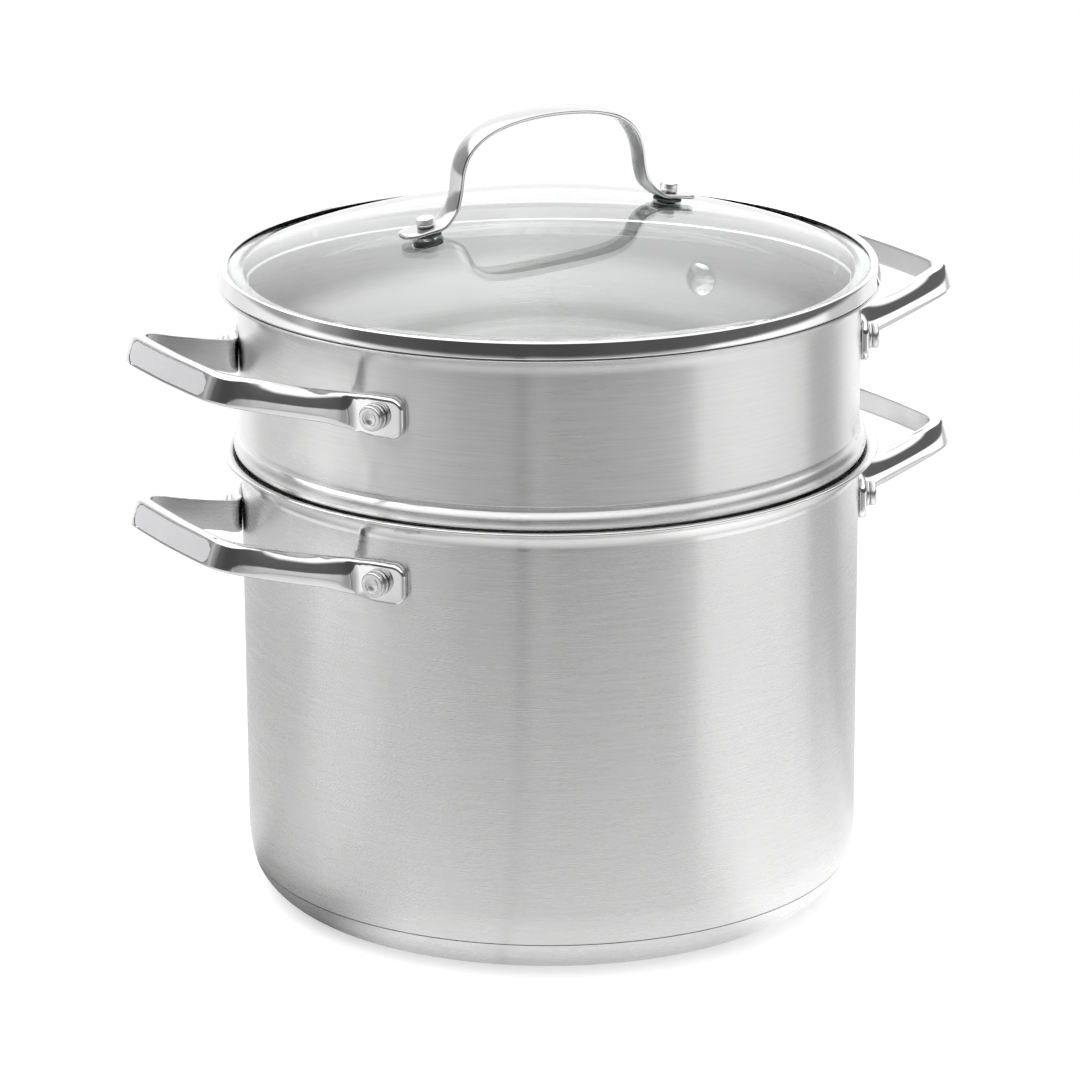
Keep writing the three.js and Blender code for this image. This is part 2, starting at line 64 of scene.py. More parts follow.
POT_LOW, POT_HIGH = box_mm("pot_body")
CAP_HIGH = box_mm("pot_base_cap")[1]
TIER_LOW, TIER_HIGH = box_mm("tier_body")
RIM_LOW, RIM_HIGH = box_mm("lid_rim")
GLASS_LOW, GLASS_HIGH = box_mm("lid_glass")

SIDES = {"right": 0, "left": 180}
ENDS = {"front": -1, "back": 1}
SEGMENTS = 288  # round the large shells
FINE_SEGMENTS = 48  # round rivets and washers
SHARP_ANGLE = 32  # degrees between faces, above which an edge isn't shaded smooth
WELD_DISTANCE = 0.001 * MM
SHEET = 1.2
BASE_SHEET = 0.8
SEAM_GAP = 0.3  # between two parts that are fixed together
WALL_RADIUS = 120.0
WALL_INSIDE = WALL_RADIUS - SHEET
FLARE_RADIUS = 7.8
LIP_RADIUS = POT_HIGH.x
FLARE_CENTRE = LIP_RADIUS - 0.7
SHOULDER_CORNER = 5.0
SHOULDER_CENTRE = (117.7, TIER_LOW.z + 16.1)
CREASE_HEIGHT = TIER_LOW.z + 22.2

RIVET_AZIMUTH = 27.8
RIVET_HOLE = 2.8
RIVET_SHANK = 2.4
RIVET_HEIGHTS = {vessel: middle_height(f"{vessel}_rivet_right_front") for vessel in ("pot", "tier")}
FLANGE_THICKNESS = 3.0
GLASS_THICKNESS = 3.9
GLASS_DOME_RADIUS = 120.0
LID_RIVET_X = 53.6

# ---------------- meshes


def arc(centre_r, centre_z, radius, start, end, steps):
    """Profile points on an arc, angles in degrees from the outward direction."""
    angles = [radians(start + (end - start) * i / steps) for i in range(steps + 1)]
    return [(centre_r + radius * cos(a), centre_z + radius * sin(a)) for a in angles]


def dense(points, step):
    """A polyline with extra points, so that no stretch is longer than step."""
    result = [points[0]]
    for (r0, z0), (r1, z1) in zip(points, points[1:]):
        count = max(1, int(hypot(r1 - r0, z1 - z0) / step))
        result += [(r0 + (r1 - r0) * k / count, z0 + (z1 - z0) * k / count)
                   for k in range(1, count + 1)]
    return result


def turned(profile, segments=SEGMENTS, closed=False):
    """A profile of (radius, height) turned about Z: vertices and faces, in millimetres."""
    vertices, rows = [], []
    for radius, height in profile:
        if radius < 1e-6:
            rows.append([len(vertices)] * segments)
            vertices.append((0, 0, height))
            continue
        rows.append(range(len(vertices), len(vertices) + segments))
        for k in range(segments):
            angle = 2 * pi * k / segments
            vertices.append((radius * cos(angle), radius * sin(angle), height))
    pairs = list(zip(rows, rows[1:]))
    if closed:
        pairs.append((rows[-1], rows[0]))
    faces = []
    for low, high in pairs:
        for k in range(segments):
            after = (k + 1) % segments
            corners = list(dict.fromkeys((low[k], low[after], high[after], high[k])))
            if len(corners) > 2:
                faces.append(corners)
    return vertices, faces


def skin(rings):
    """A skin over rings of points, with flat ends."""
    count = len(rings[0])
    vertices = [tuple(point) for ring in rings for point in ring]
    last = (len(rings) - 1) * count
    faces = []
    for here in range(0, last, count):
        there = here + count
        for k in range(count):
            after = (k + 1) % count
            faces.append((here + k, here + after, there + after, there + k))
    faces.append(tuple(range(count)))
    faces.append(tuple(last + k for k in reversed(range(count))))
    return vertices, faces


def make_object(name, shape, place=Matrix.Identity(4), sharp=SHARP_ANGLE):
    """An object from vertices and faces in millimetres, set in place and facing outward."""
    vertices, faces = shape
    mesh = bpy.data.meshes.new(name)
    mesh.from_pydata(vertices, [], faces)
    mesh.transform(Matrix.Scale(MM, 4) @ place)
    work = bmesh.new()
    work.from_mesh(mesh)
    weld(work)
    bmesh.ops.recalc_face_normals(work, faces=work.faces)
    work.to_mesh(mesh)
    work.free()
    shade(mesh, sharp)
    obj = bpy.data.objects.new(name, mesh)
    bpy.context.scene.collection.objects.link(obj)
    return obj


def weld(work):
    """Joins corners a micron apart, and drops faces without area and pairs that lie back to back."""
    bmesh.ops.remove_doubles(work, verts=work.verts, dist=WELD_DISTANCE)
    bmesh.ops.dissolve_degenerate(work, edges=work.edges, dist=WELD_DISTANCE)
    bmesh.ops.triangulate(work, faces=[face for face in work.faces if len(face.verts) > 4])
    sheets = {}
    for face in work.faces:
        sheets.setdefault(frozenset(face.verts), []).append(face)
    doubled = [face for pair in sheets.values() if len(pair) > 1 for face in pair]
    bmesh.ops.delete(work, geom=doubled, context="FACES")


def shade(mesh, sharp):
    """Smooth shading, but for edges sharper than an angle in degrees."""
    mesh.polygons.foreach_set("use_smooth", [True] * len(mesh.polygons))
    mesh.set_sharp_from_angle(angle=radians(sharp))
    mesh.update()


def cut(obj, cutters, sharp=SHARP_ANGLE):
    """Takes the cutters out of obj. Each cutter is a shape and its place."""
    tool = bpy.data.meshes.new("cutters")
    work = bmesh.new()
    for (vertices, faces), place in cutters:
        made = [work.verts.new(Matrix.Scale(MM, 4) @ place @ Vector(v)) for v in vertices]
        for face in faces:
            work.faces.new([made[i] for i in face])
    bmesh.ops.recalc_face_normals(work, faces=work.faces)
    work.to_mesh(tool)
    work.free()
    cutter = bpy.data.objects.new("cutters", tool)
    bpy.context.scene.collection.objects.link(cutter)
    boolean = obj.modifiers.new("cut", "BOOLEAN")
    boolean.operation = "DIFFERENCE"
    boolean.solver = "MANIFOLD"
    boolean.object = cutter
    graph = bpy.context.evaluated_depsgraph_get()
    result = bpy.data.meshes.new_from_object(obj.evaluated_get(graph))
    work = bmesh.new()
    work.from_mesh(result)
    weld(work)
    work.to_mesh(result)
    work.free()
    obj.modifiers.clear()
    obj.data = result
    bpy.data.objects.remove(cutter)
    shade(result, sharp)
    return obj


def add_piece(obj, body, material, nodes):
    """Hands a finished object to the frame: its body, finish and the CAD nodes it stands for."""
    obj.data.materials.clear()
    obj.data.materials.append(material)
    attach(obj, body)
    if nodes:
        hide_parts(*nodes)
    return obj


def outward(azimuth, height):
    """Turns local Z outward along an azimuth, at a height, with zero on the vessel's axis."""
    turn = Matrix.Rotation(radians(azimuth), 4, "Z") @ Matrix.Rotation(pi / 2, 4, "Y")
    return Matrix.Translation((0, 0, height)) @ turn


def rod(radius, start, end, segments=FINE_SEGMENTS):
    return turned([(0, start), (radius, start), (radius, end), (0, end)], segments)


# ---------------- materials


class Nodes:
    """A material's node tree with short calls for the nodes used here."""

    def __init__(self, name):
        self.material = bpy.data.materials.new(name)
        self.material.use_nodes = True
        self.tree = self.material.node_tree
        self.shader = self.tree.nodes["Principled BSDF"]
        self.place = self.add("ShaderNodeTexCoord").outputs["Object"]

    def add(self, kind, **settings):
        node = self.tree.nodes.new(kind)
        for key, value in settings.items():
            setattr(node, key, value)
        return node

    def link(self, source, target):
        self.tree.links.new(source, target)

    def set(self, **values):
        """Sets the shader's inputs, or links them where the value is a socket."""
        for key, value in values.items():
            target = self.shader.inputs[key.replace("_", " ")]
            if isinstance(value, bpy.types.NodeSocket):
                self.link(value, target)
            else:
                target.default_value = value

    def noise(self, stretch, detail=3.0, roughness=0.55, shift=0.0):
        """Noise over the object's place, in cycles per metre along each axis."""
        mapping = self.add("ShaderNodeMapping")
        mapping.inputs["Scale"].default_value = stretch
        mapping.inputs["Location"].default_value = (shift, shift, shift)
        self.link(self.place, mapping.inputs["Vector"])
        noise = self.add("ShaderNodeTexNoise")
        noise.inputs["Scale"].default_value = 1.0
        noise.inputs["Detail"].default_value = detail
        noise.inputs["Roughness"].default_value = roughness
        self.link(mapping.outputs["Vector"], noise.inputs["Vector"])
        return noise.outputs["Fac"]

    def remap(self, source, low, high, start=0.3, end=0.7):
        """A value from low to high as source goes from start to end."""
        node = self.add("ShaderNodeMapRange")
        for key, value in (("From Min", start), ("From Max", end), ("To Min", low), ("To Max", high)):
            node.inputs[key].default_value = value
        self.link(source, node.inputs["Value"])
        return node.outputs["Result"]

    def math(self, operation, first, second):
        node = self.add("ShaderNodeMath", operation=operation)
        for slot, value in enumerate((first, second)):
            if isinstance(value, (int, float)):
                node.inputs[slot].default_value = value
            else:
                self.link(value, node.inputs[slot])
        return node.outputs["Value"]

    def tint(self, factor, dark, light):
        """A colour between two, by a factor."""
        mix = self.add("ShaderNodeMix", data_type="RGBA")
        mix.inputs["A"].default_value = (*dark, 1)
        mix.inputs["B"].default_value = (*light, 1)
        self.link(factor, mix.inputs["Factor"])
        return mix.outputs["Result"]

    def bump(self, height, strength, distance):
        node = self.add("ShaderNodeBump")
        node.inputs["Strength"].default_value = strength
        node.inputs["Distance"].default_value = distance
        self.link(height, node.inputs["Height"])
        return node.outputs["Normal"]

    def axes(self):
        node = self.add("ShaderNodeSeparateXYZ")
        self.link(self.place, node.inputs["Vector"])
        return node.outputs

    def shaded_and_matt_edges(self, radius):
        """1 on sharp edges and 0 on flat faces, from the mesh's bevelled normal: where edges get painted
        shade and a matt finish.
        """
        bevel = self.add("ShaderNodeBevel", samples=4)
        bevel.inputs["Radius"].default_value = radius
        geometry = self.add("ShaderNodeNewGeometry")
        dot = self.add("ShaderNodeVectorMath", operation="DOT_PRODUCT")
        self.link(bevel.outputs["Normal"], dot.inputs[0])
        self.link(geometry.outputs["Normal"], dot.inputs[1])
        return self.remap(dot.outputs["Value"], 1, 0, start=0.86, end=0.995)


def brushed_steel(name, rough, bands):
    """Steel brushed round the vessel, smoother by a drop in each band of (low, high, drop)."""
    m = Nodes(name)
    fine = m.noise((55, 55, 2600), detail=2, roughness=0.6)
    coarse = m.noise((30, 30, 1300), detail=1, roughness=0.6, shift=3)
    cloud = m.noise((13, 13, 9), detail=2, shift=7)
    scratch = m.remap(m.noise((34, 34, 1500), detail=1, shift=11), 0, 1, 0.68, 0.74)
    streak = m.math("ADD", m.math("MULTIPLY", fine, 0.62), m.math("MULTIPLY", coarse, 0.38))
    tone = m.math("ADD", m.remap(streak, 0, 0.9, 0.34, 0.66), m.math("MULTIPLY", scratch, 0.15))
    height = m.axes()["Z"]
    matt = m.math("ADD", m.remap(streak, rough - 0.03, rough + 0.03), m.remap(cloud, -0.02, 0.02))
    for low, high, drop in bands:
        above = m.math("GREATER_THAN", height, low * MM)
        below = m.math("LESS_THAN", height, high * MM)
        matt = m.math("SUBTRACT", matt, m.math("MULTIPLY", m.math("MULTIPLY", above, below), drop))
    tangent = m.add("ShaderNodeTangent", direction_type="RADIAL", axis="Z").outputs["Tangent"]
    m.set(Base_Color=m.tint(tone, (0.71, 0.71, 0.707), (0.8, 0.8, 0.797)), Roughness=matt,
          Normal=m.bump(streak, 0.1, 0.00008), Tangent=tangent,
          Metallic=1.0, Anisotropic=1.0, Anisotropic_Rotation=0.25)
    return m.material


def satin_steel(name="satin_steel", rough=(0.22, 0.3), stretch=(60, 60, 600), tone=0.74):
    """Fine satin steel: even, with a faint grain."""
    m = Nodes(name)
    grain = m.noise(stretch, detail=3)
    cloud = m.noise((25, 25, 25), detail=2, shift=5)
    m.set(Base_Color=m.tint(m.remap(grain, 0, 1), (tone * 0.93,) * 3, (tone, tone, tone * 0.995)),
          Roughness=m.math("ADD", m.remap(grain, *rough), m.remap(cloud, -0.02, 0.02)),
          Normal=m.bump(grain, 0.08, 0.00006), Metallic=1.0)
    return m.material


def polished_steel(name, tone, rough):
    """Mirror-polished steel with a fine grain, and matt edges whose colour is darkened as painted shade."""
    m = Nodes(name)
    grain = m.noise((1800, 1800, 1800), detail=2)
    cloud = m.noise((45, 45, 45), detail=3, shift=2)
    edge = m.shaded_and_matt_edges(0.0005)
    # painted shade: along sharp edges the colour goes down to grey 0.42
    steel = m.add("ShaderNodeMix", data_type="RGBA")
    m.link(m.tint(m.remap(cloud, 0, 1), (tone - 0.03,) * 3, (tone + 0.03,) * 3), steel.inputs["A"])
    steel.inputs["B"].default_value = (0.42, 0.42, 0.42, 1)
    m.link(edge, steel.inputs["Factor"])
    matt = m.math("ADD", m.remap(cloud, rough, rough + 0.04), m.math("MULTIPLY", edge, 0.1))
    m.set(Base_Color=steel.outputs["Result"], Roughness=matt,
          Normal=m.bump(grain, 0.08, 0.00002), Metallic=1.0)
    return m.material


def rivet_steel():
    """A wall rivet's steel: a polished head inside the wall and a satin tail outside."""
    m = Nodes("rivet_steel")
    grain = m.noise((900, 900, 900), detail=2)
    axes = m.axes()
    x, y = (m.math("MULTIPLY", axes[name], axes[name]) for name in ("X", "Y"))
    radius = m.math("SQRT", m.math("ADD", x, y), 0)
    outside = m.math("GREATER_THAN", radius, WALL_RADIUS * MM)
    m.set(Base_Color=m.tint(m.remap(grain, 0, 1), (0.68, 0.68, 0.68), (0.78, 0.78, 0.775)),
          Roughness=m.math("ADD", m.remap(grain, 0.06, 0.12), m.math("MULTIPLY", outside, 0.22)),
          Normal=m.bump(grain, 0.08, 0.00004), Metallic=1.0)
    return m.material


def panel_steel():
    """The flat bead-blasted panel on each grip."""
    m = Nodes("panel_steel")
    grain = m.noise((2600, 2600, 2600), detail=2)
    cloud = m.noise((60, 60, 60), detail=2, shift=4)
    m.set(Base_Color=m.tint(m.remap(grain, 0, 1), (0.8, 0.8, 0.815), (0.9, 0.9, 0.915)),
          Roughness=m.math("ADD", m.remap(grain, 0.42, 0.52), m.remap(cloud, -0.03, 0.03)),
          Normal=m.bump(grain, 0.15, 0.00004), Metallic=1.0)
    return m.material


def clear_glass():
    """Tempered glass with a faint green cast and a few barely visible ripples."""
    m = Nodes("lid_glass")
    wipe = m.noise((18, 18, 18), detail=3)
    m.set(Base_Color=m.tint(m.remap(wipe, 0, 1), (0.955, 0.975, 0.965), (0.97, 0.985, 0.975)),
          Normal=m.bump(wipe, 0.01, 0.0001), IOR=1.5, Transmission_Weight=1.0, Roughness=0.0)
    return m.material


def plain_finish(name, cycles, detail, dark, light, rough, relief, metallic):
    """An even finish with a fine grain in its colour, roughness and relief."""
    m = Nodes(name)
    grain = m.noise((cycles,) * 3, detail=detail)
    m.set(Base_Color=m.tint(m.remap(grain, 0, 1), dark, light), Roughness=m.remap(grain, *rough),
          Normal=m.bump(grain, 0.2, relief), Metallic=metallic)
    return m.material


BRUSHED_POT = brushed_steel("brushed_steel", 0.27, [(POT_HIGH.z - 9, POT_HIGH.z + 1, 0.12)])
BRUSHED_TIER = brushed_steel("brushed_steel_tier", 0.3, [(TIER_LOW.z + 11, CREASE_HEIGHT, 0.05)])
SATIN = satin_steel()
RIVET = rivet_steel()
FROSTED = satin_steel("frosted_steel", rough=(0.26, 0.34), stretch=(900, 900, 900), tone=0.76)
POLISHED = polished_steel("polished_steel", 0.77, 0.05)
# the strap's copy of the polished steel, darker (tone 0.6 against 0.77) as painted shade
STRAP = polished_steel("strap_shaded_steel", 0.6, 0.09)
PANEL = panel_steel()
GLASS = clear_glass()
SILICONE = plain_finish("silicone", 1500, 2, (0.12, 0.145, 0.13), (0.17, 0.2, 0.18),
                        rough=(0.5, 0.65), relief=0.00005, metallic=0.0)
ALUMINIUM = plain_finish("core_aluminium", 300, 4, (0.62, 0.63, 0.64), (0.76, 0.77, 0.78),
                         rough=(0.45, 0.6), relief=0.0001, metallic=1.0)
WIRE = satin_steel("wire_steel", rough=(0.12, 0.2), stretch=(500, 500, 500), tone=0.76)

# ---------------- pot and tier shells


def lip(top):
    """A flared lip from the outside of the wall, over its rounded edge, to the inside."""
    z = top - FLARE_RADIUS
    edge_r, edge_z = FLARE_CENTRE + 0.1, top - SHEET / 2
    return (arc(FLARE_CENTRE, z, FLARE_RADIUS - SHEET, 180, 92, 14)
            + arc(edge_r, edge_z, SHEET / 2, -85, 85, 8)
            + arc(FLARE_CENTRE, z, FLARE_RADIUS, 92, 180, 16))


def rivet_holes(height):
    """Cutters for the four rivet holes of a pair of handles."""
    hole = rod(RIVET_HOLE, WALL_INSIDE - 5, WALL_RADIUS + 5)
    return [(hole, outward(turn + sign * RIVET_AZIMUTH, height))
            for turn in SIDES.values() for sign in ENDS.values()]


FLAT_RADIUS = 60  # a ring of corners on the pot's flat floor
POT_TUCK = 1.3  # how far the wall draws in above the base cap
TUCK_HEIGHT = 13.0
TUCK_STEP = 0.25  # the small chamfer under the drawn-in foot


def tucked_wall(shelf):
    """The foot of the pot's wall, drawn in on a curve from the cap's seam upward."""
    rise = TUCK_HEIGHT - 2 * TUCK_STEP
    return [(WALL_RADIUS - POT_TUCK * (1 - i / 10) ** 2, shelf + TUCK_STEP + rise * i / 10)
            for i in range(11)]


def pot_shell():
    seam = 117.3  # radius of the stretch inside the base cap
    corner = 8.0
    shelf = CAP_HIGH.z + SEAM_GAP
    centre = (seam - corner, POT_LOW.z + corner)
    wall_top = POT_HIGH.z - FLARE_RADIUS - 0.1
    profile = (
        [(0, POT_LOW.z), (FLAT_RADIUS, POT_LOW.z)]
        + arc(*centre, corner, -90, -12, 8)
        + [(seam, shelf), (WALL_RADIUS - POT_TUCK - TUCK_STEP, shelf)]
        + tucked_wall(shelf)
        + dense([(WALL_RADIUS, shelf + TUCK_HEIGHT), (WALL_RADIUS, wall_top)], 12)
        + lip(POT_HIGH.z)
        + dense([(WALL_INSIDE, wall_top), (WALL_INSIDE, centre[1] + 3)], 12)
        + arc(*centre, corner - SHEET, 0, -90, 8)
        + [(FLAT_RADIUS, POT_LOW.z + SHEET), (0, POT_LOW.z + SHEET)])
    obj = cut(make_object("pot_shell", turned(profile)), rivet_holes(RIVET_HEIGHTS["pot"]))
    return add_piece(obj, "pot", BRUSHED_POT, ["pot_body"])


def base_shell():
    """The smooth cap round the thick base, a flattened ellipse in section."""
    across, upward, squareness = 13.0, CAP_HIGH.z, 1.25
    top_radius = CAP_HIGH.x

    def curve(inset):
        points = []
        for i in range(15):
            angle = radians(90 * i / 14)
            points.append((top_radius - across + (across - inset) * sin(angle) ** squareness,
                           upward - (upward - inset) * cos(angle) ** squareness))
        return points

    profile = ([(0, 0), (FLAT_RADIUS, 0)] + curve(0) + curve(BASE_SHEET)[::-1]
               + [(FLAT_RADIUS, BASE_SHEET), (0, BASE_SHEET)])
    return add_piece(make_object("base_shell", turned(profile), sharp=40), "pot", SATIN,
                     ["pot_base_cap"])


STEAM_HOLE_RADIUS = 4.0
STEAM_HOLE_PITCH = 21.0
STEAM_HOLE_RINGS = 4


def steam_holes():
    """Cutters for the tier's floor: a middle hole, then rings of six, twelve, eighteen and so on."""
    hole = rod(STEAM_HOLE_RADIUS, TIER_LOW.z - 2, TIER_LOW.z + SHEET + 2, 32)
    cutters = []
    for ring in range(STEAM_HOLE_RINGS + 1):
        count = 6 * ring or 1
        for i in range(count):
            angle = 2 * pi * i / count
            distance = ring * STEAM_HOLE_PITCH
            cutters.append((hole, Matrix.Translation((distance * cos(angle), distance * sin(angle), 0))))
    return cutters


def tier_shell():
    floor, flat, neck, corner = TIER_LOW.z, 96, 117.0, 6.0
    bend, bend_height = 5, floor + 8  # where the neck turns out to the shoulder
    centre = (neck - corner, floor + corner)
    outside = arc(*centre, corner, -90, 0, 8) + [(neck, bend_height)]
    outside += arc(neck + bend, bend_height, bend, 180, 120, 5)
    outside += arc(*SHOULDER_CENTRE, SHOULDER_CORNER, -25, 55, 14)
    outside += arc(WALL_RADIUS + 1.2, CREASE_HEIGHT + 0.6, 1.2, 215, 180, 3)
    inside = [(WALL_INSIDE, CREASE_HEIGHT + 0.6)]
    inside += arc(*SHOULDER_CENTRE, SHOULDER_CORNER - SHEET, 60, -25, 12)
    inside += arc(neck + bend, bend_height + 0.4, bend + SHEET, 125, 180, 5)
    wall_top = TIER_HIGH.z - FLARE_RADIUS - 0.1
    profile = (
        [(0, floor), (flat, floor)] + outside
        + dense([(WALL_RADIUS, CREASE_HEIGHT + 1), (WALL_RADIUS, wall_top)], 12)
        + lip(TIER_HIGH.z)
        + dense([(WALL_INSIDE, wall_top), (WALL_INSIDE, CREASE_HEIGHT + 2)], 12)
        + inside + arc(*centre, corner - SHEET, 0, -90, 8)
        + [(flat, floor + SHEET), (0, floor + SHEET)])
    holes = rivet_holes(RIVET_HEIGHTS["tier"]) + steam_holes()
    obj = cut(make_object("tier_shell", turned(profile)), holes)
    return add_piece(obj, "tier", BRUSHED_TIER, ["tier_body"])


# ---------------- bars: loop handles and strap


def smooth_between(rows, steps):
    """Rows of numbers with Catmull-Rom points between them."""
    result = []
    for i in range(len(rows) - 1):
        before, start = rows[max(i - 1, 0)], rows[i]
        end, after = rows[i + 1], rows[min(i + 2, len(rows) - 1)]
        for k in range(steps):
            t = k / steps
            result.append([
                0.5 * (2 * b + (c - a) * t + (2 * a - 5 * b + 4 * c - d) * t ** 2
                       + (3 * b - a - 3 * c + d) * t ** 3)
                for a, b, c, d in zip(before, start, end, after)])
    return result + [list(rows[-1])]


def path_lengths(points):
    """How far along the path each point lies."""
    lengths = [0.0]
    for a, b in zip(points, points[1:]):
        lengths.append(lengths[-1] + (b - a).length)
    return lengths


def flat_section(thickness, height, corner, crown):
    """A strap's section as (out, up) points: round corners and crowned broad faces."""
    half_t, half_h = thickness / 2 - crown - corner, height / 2 - corner
    points = []
    for quarter, (side, top) in enumerate([(1, 1), (-1, 1), (-1, -1), (1, -1)]):
        for i in range(6):
            angle = (quarter + i / 5) * pi / 2
            points.append((side * half_t + corner * cos(angle), top * half_h + corner * sin(angle)))
        if side == -top:  # the next stretch is a broad face
            for i in range(1, 14):
                across = 1 - i / 7
                points.append((side * (thickness / 2 - crown * across ** 2), top * across * half_h))
    return points


def loop_section(thickness, height, crown, bevel):
    """A loop handle's section as (out, up) points: its crown faces up and out, over a lower bevel."""
    half_t, half_h = thickness / 2, height / 2
    corner = min(0.5, 0.2 * thickness, 0.2 * height)
    drop, inner_drop = 2.2 * crown, 0.5 * crown
    inner = -half_t + inner_drop + corner
    bevel = min(bevel, 0.35 * height)
    bottom = -half_h + bevel
    apex = -0.6  # how high the crown stands furthest out, from -1 at its foot to 1
    slope = atan2(2 * drop, (1 - apex) * 0.33 * height)  # how far the crown's top edge faces up
    top_corner = min(2.2, 0.4 * height, (half_t - drop - inner) / cos(slope) - 0.1)
    top = half_h - top_corner * (1 - sin(slope))
    points = []
    for i in range(21):
        f = 1 - i / 10
        points.append((half_t - drop * ((f - apex) / (1 - apex)) ** 2,
                       (top + bottom) / 2 + f * (top - bottom) / 2))
    foot = points[-1][0] - 0.55 * bevel
    points += [(foot + 0.1, -half_h + 0.35), (foot - 0.1, -half_h + 0.1), (foot - 0.35, -half_h)]
    points += [(inner - corner * sin(radians(a)), -half_h + corner - corner * cos(radians(a)))
               for a in (0, 30, 60)]
    for i in range(11):
        f = -1 + i / 5
        points.append((-half_t + inner_drop * f ** 2, f * (half_h - corner)))
    points += [(inner - corner * cos(radians(a)), half_h - corner + corner * sin(radians(a)))
               for a in (30, 60, 90)]
    for i in range(6):
        a = pi / 2 + (slope - pi / 2) * i / 6
        points.append((half_t - drop + top_corner * (cos(a) - cos(slope)),
                       top + top_corner * (sin(a) - sin(slope))))
    return points


def path_frames(middles, lean):
    """For each middle: its across and up directions, square to the path."""
    frames = []
    for i in range(len(middles)):
        along = (middles[min(i + 1, len(middles) - 1)] - middles[max(i - 1, 0)]).normalized()
        up = lean(i)
        up = (up - along * up.dot(along)).normalized()
        frames.append((up.cross(along), up))
    return frames


def end_shrink(distance, radius):
    """How much a round end takes off each side, at a distance from the tip."""
    if distance >= radius:
        return 0.0
    return radius - sqrt(max(radius ** 2 - (radius - distance) ** 2, 0.0))


def bar(rows, lean, section, tip_corner, tip_edge):
    """A bar along rows of (x, y, z, thickness, height, ...), with its tips rounded off."""
    middles = [Vector(row[:3]) for row in rows]
    frames = path_frames(middles, lean)
    lengths = path_lengths(middles)
    rings = []
    for i, (middle, (out, up)) in enumerate(zip(middles, frames)):
        tip = min(lengths[i], lengths[-1] - lengths[i])
        thickness = rows[i][3] - 2 * end_shrink(tip, tip_edge)
        height = rows[i][4] - 2 * end_shrink(tip, tip_corner)
        rings.append([middle + out * a + up * b for a, b in section(i, thickness, height)])
    return rings, middles, frames, lengths


TIP_PLACES = [0.0, 0.15, 0.35, 0.6, 0.9, 1.3, 1.8, 2.4, 3.1, 3.9]  # rows close together at a tip
TIP_LENGTH = 4.5


def even_rows(rows, step):
    """Rows set at even distances along their path, and closer together towards both tips."""
    lengths = path_lengths([Vector(row[:3]) for row in rows])
    whole = lengths[-1]
    count = round(whole / step)
    places = TIP_PLACES + [whole * k / count for k in range(count + 1)
                           if TIP_LENGTH < whole * k / count < whole - TIP_LENGTH]
    places += [whole - tip for tip in reversed(TIP_PLACES)]
    result, here = [], 0
    for place in places:
        while here < len(rows) - 2 and lengths[here + 1] < place:
            here += 1
        t = (place - lengths[here]) / (lengths[here + 1] - lengths[here])
        result.append([a + (b - a) * t for a, b in zip(rows[here], rows[here + 1])])
    return result


FLANGE_RADIUS = WALL_RADIUS + SEAM_GAP + FLANGE_THICKNESS / 2
GRIP_RISE = 13.0
HANDLE_TILT = 18.0  # in degrees, where a row's lean is 1
PANEL_REACH = 30.0
PANEL_HALF_HEIGHT = 4.2
PANEL_DROP = 0.45  # how far the panel sits below the grip's middle
PANEL_GAP = 0.4
PANEL_FACE, PANEL_BACK = -0.16, -0.7  # measured out from the grip's outer face
RECESS_MOUTH, RECESS_FLOOR = 1.5, -0.95


def handle_rows():
    """Rows of (x, y, rise above the rivets, thickness, height, lean, crown, bevel), tip to tip."""
    def on_wall(azimuth):
        return FLANGE_RADIUS * cos(radians(azimuth)), FLANGE_RADIUS * sin(radians(azimuth))

    half = [  # from the tip of a flange to the middle of the grip
        *((*on_wall(azimuth), 0, FLANGE_THICKNESS, 16, 0, 0, 1) for azimuth in (33, 32.6, 31.5, 29.6, 27.8)),
        (*on_wall(26.2), 0, FLANGE_THICKNESS, 15.8, 0, 0, 1),
        (*on_wall(24.8), 0, FLANGE_THICKNESS, 15.2, 0, 0.1, 1.2),
        (112.4, 47.6, 0.2, 3.2, 14.2, 0.1, 0.15, 1.4),
        (116, 44.8, 0.9, 3.8, 13.2, 0.4, 0.6, 1.8),
        (121, 43.5, 2.2, 4.3, 12.2, 0.8, 1.05, 1.9),
        (131, 42.2, 4.6, 4.9, 11.7, 1.1, 1.4, 1.9),
        (143, 40.8, 7.9, 5.2, 11.6, 1.1, 1.4, 1.6),
        (152.5, 39.4, 10.6, 5.3, 11.6, 1.05, 0.8, 1.3),
        (158.6, 36.9, 12.1, 5.4, 11.5, 0.95, 0.2, 1.1),
        (161.7, 32, 12.8, 5.4, 11.4, 1, 0.15, 0.9),
        (162.8, 24, GRIP_RISE, 5.4, 11.4, 1, 0.12, 0.8),
        (163.3, 10, GRIP_RISE, 5.4, 11.4, 1, 0.12, 0.8),
        (163.5, 0, GRIP_RISE, 5.4, 11.4, 1, 0.12, 0.8),
    ]
    mirrored = [(x, -y, *rest) for x, y, *rest in reversed(half[:-1])]
    return even_rows(smooth_between(half + mirrored, 12), 0.9)


